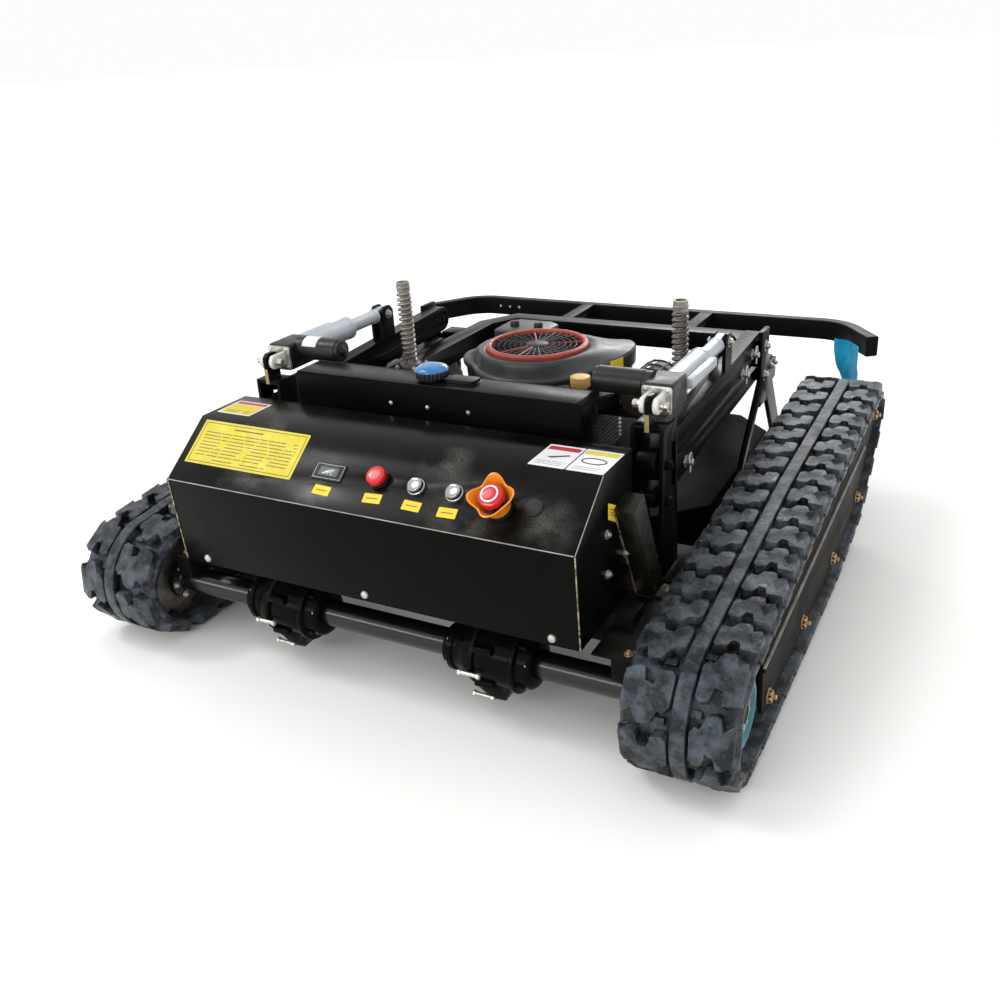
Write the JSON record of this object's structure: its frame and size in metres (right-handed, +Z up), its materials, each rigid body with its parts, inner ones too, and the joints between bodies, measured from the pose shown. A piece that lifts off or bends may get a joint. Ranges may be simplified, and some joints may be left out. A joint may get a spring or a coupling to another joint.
{
  "type": "tracked mower chassis",
  "caption": "Low black tracked slope-mower chassis with rubber tracks, a sloping rear control box, an engine on a lifting deck, and a front bumper rail.",
  "frame": {"origin": "on the ground, under the middle of the overall length and width", "axes": "+X to the machine's right, +Y forwards to the bumper, +Z up; the control box is at the rear"},
  "size_m": [1.089, 1.1832, 0.482],
  "materials": {
    "track_rubber": "dark blue-grey moulded rubber, scuffed and dusty",
    "frame_black": "gloss black powder coat with a fine orange peel",
    "wheel_steel": "worn bare steel",
    "sprocket_teal": "blue-green paint over cast iron",
    "actuator_silver": "pale silver paint over die-cast aluminium",
    "dark_plastic": "black moulded plastic",
    "blower_black": "glossy black moulded plastic",
    "engine_alloy": "die-cast aluminium, grey",
    "guard_red": "red ring round a black screen",
    "muffler_steel": "heat-resistant satin black",
    "spring_steel": "grey plated spring wire",
    "polished_steel": "polished steel",
    "red_plastic": "glossy red plastic",
    "orange_plastic": "orange moulded plastic",
    "blue_plastic": "blue plastic",
    "yellow_plastic": "pale yellow plastic"
  },
  "bodies": {
    "chassis": {"track_left": "track_rubber", "track_frame_left": "frame_black", "gear_motor_left": "frame_black", "box_brace_left": "frame_black", "lift_bracket_left": "frame_black", "track_right": "track_rubber", "track_frame_right": "frame_black", "gear_motor_right": "frame_black", "box_brace_right": "frame_black", "lift_bracket_right": "frame_black", "axle_tube": "frame_black", "main_frame": "frame_black", "control_box": "frame_black", "control_box_back": "frame_black", "battery": "dark_plastic", "fuel_tank": "frame_black", "stop_guard": "orange_plastic"},
    "sprocket_left": {"sprocket_left": "sprocket_teal"},
    "roller_1_left": {"roller_1_left": "wheel_steel"},
    "roller_2_left": {"roller_2_left": "wheel_steel"},
    "roller_3_left": {"roller_3_left": "wheel_steel"},
    "roller_4_left": {"roller_4_left": "wheel_steel"},
    "idler_left": {"idler_left": "wheel_steel"},
    "sprocket_right": {"sprocket_right": "sprocket_teal"},
    "roller_1_right": {"roller_1_right": "wheel_steel"},
    "roller_2_right": {"roller_2_right": "wheel_steel"},
    "roller_3_right": {"roller_3_right": "wheel_steel"},
    "roller_4_right": {"roller_4_right": "wheel_steel"},
    "idler_right": {"idler_right": "wheel_steel"},
    "lift_arms": {"lift_arm_left": "frame_black", "lift_arm_right": "frame_black"},
    "lower_links": {"lower_link_left": "frame_black", "lower_link_right": "frame_black"},
    "deck": {"deck_frame": "frame_black", "bumper": "frame_black", "mower_deck": "frame_black", "deck_leg_left": "frame_black", "spring_post_left": "wheel_steel", "spring_left": "spring_steel", "deck_leg_right": "frame_black", "spring_post_right": "wheel_steel", "spring_right": "spring_steel", "engine_block": "engine_alloy", "blower_housing": "blower_black", "fan_guard": "guard_red", "air_cleaner": "dark_plastic", "muffler": "muffler_steel"},
    "actuator_left": {"actuator_body_left": "dark_plastic"},
    "rod_left": {"actuator_rod_left": "actuator_silver"},
    "actuator_right": {"actuator_body_right": "dark_plastic"},
    "rod_right": {"actuator_rod_right": "actuator_silver"},
    "crank": {"crankshaft": "polished_steel", "cooling_fan": "dark_plastic", "mower_blade": "wheel_steel"},
    "red_button": {"red_button": "red_plastic"},
    "silver_button_left": {"silver_button_left": "polished_steel"},
    "silver_button_right": {"silver_button_right": "polished_steel"},
    "stop_button": {"stop_button": "red_plastic"},
    "fuel_cap": {"fuel_cap": "blue_plastic"},
    "oil_cap": {"oil_cap": "yellow_plastic"}
  },
  "joints": [
    {"name": "sprocket_left_turn", "type": "hinge", "parent": "chassis", "child": "sprocket_left", "pos_m": [-0.473, -0.49336, 0.0984], "axis": [1, 0, 0], "continuous": true},
    {"name": "roller_1_left_turn", "type": "hinge", "parent": "chassis", "child": "roller_1_left", "pos_m": [-0.473, -0.38836, 0.058], "axis": [1, 0, 0], "continuous": true},
    {"name": "roller_2_left_turn", "type": "hinge", "parent": "chassis", "child": "roller_2_left", "pos_m": [-0.473, -0.18836, 0.058], "axis": [1, 0, 0], "continuous": true},
    {"name": "roller_3_left_turn", "type": "hinge", "parent": "chassis", "child": "roller_3_left", "pos_m": [-0.473, 0.02664, 0.058], "axis": [1, 0, 0], "continuous": true},
    {"name": "roller_4_left_turn", "type": "hinge", "parent": "chassis", "child": "roller_4_left", "pos_m": [-0.473, 0.23164, 0.083], "axis": [1, 0, 0], "continuous": true},
    {"name": "idler_left_turn", "type": "hinge", "parent": "chassis", "child": "idler_left", "pos_m": [-0.473, 0.36464, 0.197], "axis": [1, 0, 0], "continuous": true},
    {"name": "sprocket_right_turn", "type": "hinge", "parent": "chassis", "child": "sprocket_right", "pos_m": [0.473, -0.49336, 0.0984], "axis": [1, 0, 0], "continuous": true},
    {"name": "roller_1_right_turn", "type": "hinge", "parent": "chassis", "child": "roller_1_right", "pos_m": [0.473, -0.38836, 0.058], "axis": [1, 0, 0], "continuous": true},
    {"name": "roller_2_right_turn", "type": "hinge", "parent": "chassis", "child": "roller_2_right", "pos_m": [0.473, -0.18836, 0.058], "axis": [1, 0, 0], "continuous": true},
    {"name": "roller_3_right_turn", "type": "hinge", "parent": "chassis", "child": "roller_3_right", "pos_m": [0.473, 0.02664, 0.058], "axis": [1, 0, 0], "continuous": true},
    {"name": "roller_4_right_turn", "type": "hinge", "parent": "chassis", "child": "roller_4_right", "pos_m": [0.473, 0.23164, 0.083], "axis": [1, 0, 0], "continuous": true},
    {"name": "idler_right_turn", "type": "hinge", "parent": "chassis", "child": "idler_right", "pos_m": [0.473, 0.36464, 0.197], "axis": [1, 0, 0], "continuous": true},
    {"name": "deck_lift", "type": "hinge", "parent": "chassis", "child": "lift_arms", "pos_m": [0, -0.29336, 0.33], "axis": [1, 0, 0], "range_deg": [-4, 12]},
    {"name": "lower_link_swing", "type": "hinge", "parent": "chassis", "child": "lower_links", "pos_m": [0, -0.29336, 0.275], "axis": [1, 0, 0], "range_deg": [-4, 12]},
    {"name": "deck_level", "type": "hinge", "parent": "lift_arms", "child": "deck", "pos_m": [0, 0.22264, 0.356], "axis": [1, 0, 0], "range_deg": [-12, 4]},
    {"name": "actuator_left_tilt", "type": "hinge", "parent": "chassis", "child": "actuator_left", "pos_m": [-0.332, -0.29236, 0.415], "axis": [1, 0, 0], "range_deg": [-4.2, 12.4]},
    {"name": "rod_left_travel", "type": "slide", "parent": "actuator_left", "child": "rod_left", "axis": [0, 1, 0], "range_m": [-0.018, 0.006]},
    {"name": "actuator_right_tilt", "type": "hinge", "parent": "chassis", "child": "actuator_right", "pos_m": [0.332, -0.29236, 0.415], "axis": [1, 0, 0], "range_deg": [-4.2, 12.4]},
    {"name": "rod_right_travel", "type": "slide", "parent": "actuator_right", "child": "rod_right", "axis": [0, 1, 0], "range_m": [-0.018, 0.006]},
    {"name": "crank_turn", "type": "hinge", "parent": "deck", "child": "crank", "pos_m": [0, 0.02664, 0.3], "axis": [0, 0, 1], "continuous": true},
    {"name": "red_button_press", "type": "slide", "parent": "chassis", "child": "red_button", "axis": [0, 0.6046, -0.7965], "range_m": [0, 0.004], "stiffness_N_per_m": 600, "springref_m": -0.003},
    {"name": "silver_button_left_press", "type": "slide", "parent": "chassis", "child": "silver_button_left", "axis": [0, 0.6046, -0.7965], "range_m": [0, 0.004], "stiffness_N_per_m": 600, "springref_m": -0.003},
    {"name": "silver_button_right_press", "type": "slide", "parent": "chassis", "child": "silver_button_right", "axis": [0, 0.6046, -0.7965], "range_m": [0, 0.004], "stiffness_N_per_m": 600, "springref_m": -0.003},
    {"name": "stop_button_press", "type": "slide", "parent": "chassis", "child": "stop_button", "axis": [0, 0.6046, -0.7965], "range_m": [0, 0.005]},
    {"name": "fuel_cap_turn", "type": "hinge", "parent": "chassis", "child": "fuel_cap", "pos_m": [-0.009, -0.30536, 0.43], "axis": [0, 0, 1], "range_deg": [0, 120]},
    {"name": "oil_cap_turn", "type": "hinge", "parent": "deck", "child": "oil_cap", "pos_m": [0.125, -0.06836, 0.357], "axis": [0, 0, 1], "range_deg": [0, 90]}
  ],
  "couplings": [
    {"joint": "roller_1_left_turn", "follows": "sprocket_left_turn", "ratio": 2.3467},
    {"joint": "roller_2_left_turn", "follows": "sprocket_left_turn", "ratio": 2.3467},
    {"joint": "roller_3_left_turn", "follows": "sprocket_left_turn", "ratio": 2.3467},
    {"joint": "roller_4_left_turn", "follows": "sprocket_left_turn", "ratio": 2.3467},
    {"joint": "idler_left_turn", "follows": "sprocket_left_turn", "ratio": 2.0706},
    {"joint": "roller_1_right_turn", "follows": "sprocket_right_turn", "ratio": 2.3467},
    {"joint": "roller_2_right_turn", "follows": "sprocket_right_turn", "ratio": 2.3467},
    {"joint": "roller_3_right_turn", "follows": "sprocket_right_turn", "ratio": 2.3467},
    {"joint": "roller_4_right_turn", "follows": "sprocket_right_turn", "ratio": 2.3467},
    {"joint": "idler_right_turn", "follows": "sprocket_right_turn", "ratio": 2.0706},
    {"joint": "lower_link_swing", "follows": "deck_lift", "ratio": 1},
    {"joint": "deck_level", "follows": "deck_lift", "ratio": -1},
    {"joint": "actuator_left_tilt", "follows": "deck_lift", "ratio": 1.02},
    {"joint": "rod_left_travel", "follows": "deck_lift", "m_per_rad": -0.0844},
    {"joint": "actuator_right_tilt", "follows": "deck_lift", "ratio": 1.02},
    {"joint": "rod_right_travel", "follows": "deck_lift", "m_per_rad": -0.0844}
  ]
}
